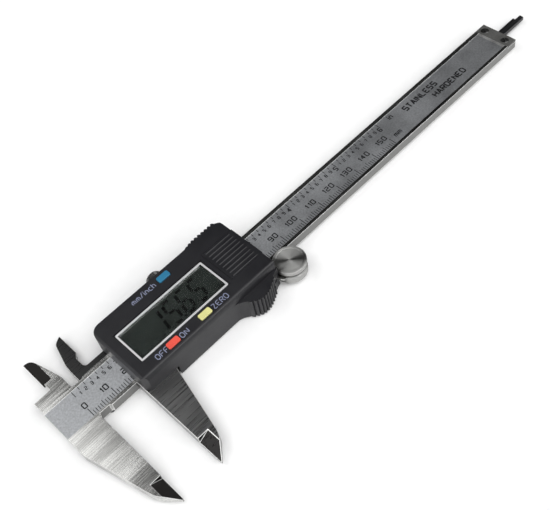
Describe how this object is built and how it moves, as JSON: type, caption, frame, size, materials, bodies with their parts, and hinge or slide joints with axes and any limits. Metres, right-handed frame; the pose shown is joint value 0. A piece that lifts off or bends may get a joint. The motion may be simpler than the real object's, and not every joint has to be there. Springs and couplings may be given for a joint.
{
  "type": "digital caliper",
  "caption": "Sliding caliper with outside and inside jaws, depth rod, thumb roller, lock screw and a battery display housing, shown part open.",
  "frame": {"origin": "middle of the floor under the whole object in its rest pose, with the caliper lying on the slider's back", "axes": "+X along the beam from the jaws to the depth rod, +Y towards the inside jaws, +Z out of the display"},
  "size_m": [0.2504, 0.0768, 0.0139],
  "materials": {
    "ground_steel": "brushed across the jaw, ground dark on the measuring bevels",
    "slider_steel": "brushed, darker than the beam",
    "turned_steel": "turned and plated",
    "screw_steel": "satin",
    "rod_steel": "drawn, dark",
    "bronze": "rolled",
    "scale_print": null,
    "circuit_green": "solder mask",
    "chip_black": "epoxy",
    "case_black": "fine moulded satin",
    "display_frame": "bright satin",
    "display_window": "clear acrylic",
    "display_panel": "dark reflective liquid crystal",
    "holder_white": "moulded",
    "contact_rubber": "layered conductive rubber",
    "keypad_rubber": "silicone",
    "contact_metal": "gold flash",
    "cell_steel": "nickel plated",
    "button_blue": "satin",
    "button_red": "satin",
    "button_yellow": "satin"
  },
  "bodies": {
    "beam_body": {"beam": "ground_steel", "scale_circuit_strip": "circuit_green", "scale_label": "scale_print", "end_plate": "slider_steel", "end_plate_screws": "screw_steel"},
    "slider_body": {"slider_frame": "slider_steel", "back_label": "scale_print", "gib_strip": "bronze", "gib_set_screws": "screw_steel", "depth_rod": "rod_steel", "rod_clamp_plate": "ground_steel", "rod_clamp_screws": "screw_steel", "roller_bracket": "ground_steel", "bracket_screws": "screw_steel", "housing": "case_black", "housing_screws": "screw_steel", "lcd_bezel": "display_frame", "lcd_window": "display_window", "lcd_panel": "display_panel", "lcd_holder": "holder_white", "zebra_strips": "contact_rubber", "circuit_board": "circuit_green", "controller_chip": "chip_black", "keypad_lower": "keypad_rubber", "keypad_upper": "keypad_rubber", "battery_contact_positive": "contact_metal", "battery_contact_negative": "contact_metal", "coin_cell": "cell_steel"},
    "thumb_roller": {"roller_rear_disc": "turned_steel", "roller_front_disc": "turned_steel"},
    "lock_knob": {"lock_screw": "screw_steel"},
    "unit_key": {"unit_button": "button_blue"},
    "power_key": {"power_button": "button_red"},
    "zero_key": {"zero_button": "button_yellow"},
    "battery_lid": {"battery_cover": "case_black"}
  },
  "joints": [
    {"name": "slider_slide", "type": "slide", "parent": "beam_body", "child": "slider_body", "axis": [1, 0, 0], "range_m": [-0.01565, 0.13435]},
    {"name": "roller_spin", "type": "hinge", "parent": "slider_body", "child": "thumb_roller", "pos_m": [-0.03058, -0.0041, 0.0045], "axis": [0, 0, 1], "continuous": true},
    {"name": "lock_turn", "type": "hinge", "parent": "slider_body", "child": "lock_knob", "pos_m": [-0.06588, 0.02795, 0.0035], "axis": [0, 1, 0], "range_deg": [-90, 360]},
    {"name": "unit_press", "type": "slide", "parent": "slider_body", "child": "unit_key", "axis": [0, 0, -1], "range_m": [0, 0.0005], "stiffness_N_per_m": 2500},
    {"name": "power_press", "type": "slide", "parent": "slider_body", "child": "power_key", "axis": [0, 0, -1], "range_m": [0, 0.0005], "stiffness_N_per_m": 2500},
    {"name": "zero_press", "type": "slide", "parent": "slider_body", "child": "zero_key", "axis": [0, 0, -1], "range_m": [0, 0.0005], "stiffness_N_per_m": 2500},
    {"name": "battery_lid_slide", "type": "slide", "parent": "slider_body", "child": "battery_lid", "axis": [1, 0, 0], "range_m": [0, 0.016]}
  ],
  "couplings": [
    {"joint": "roller_spin", "follows": "slider_slide", "rad_per_m": 165.29}
  ]
}
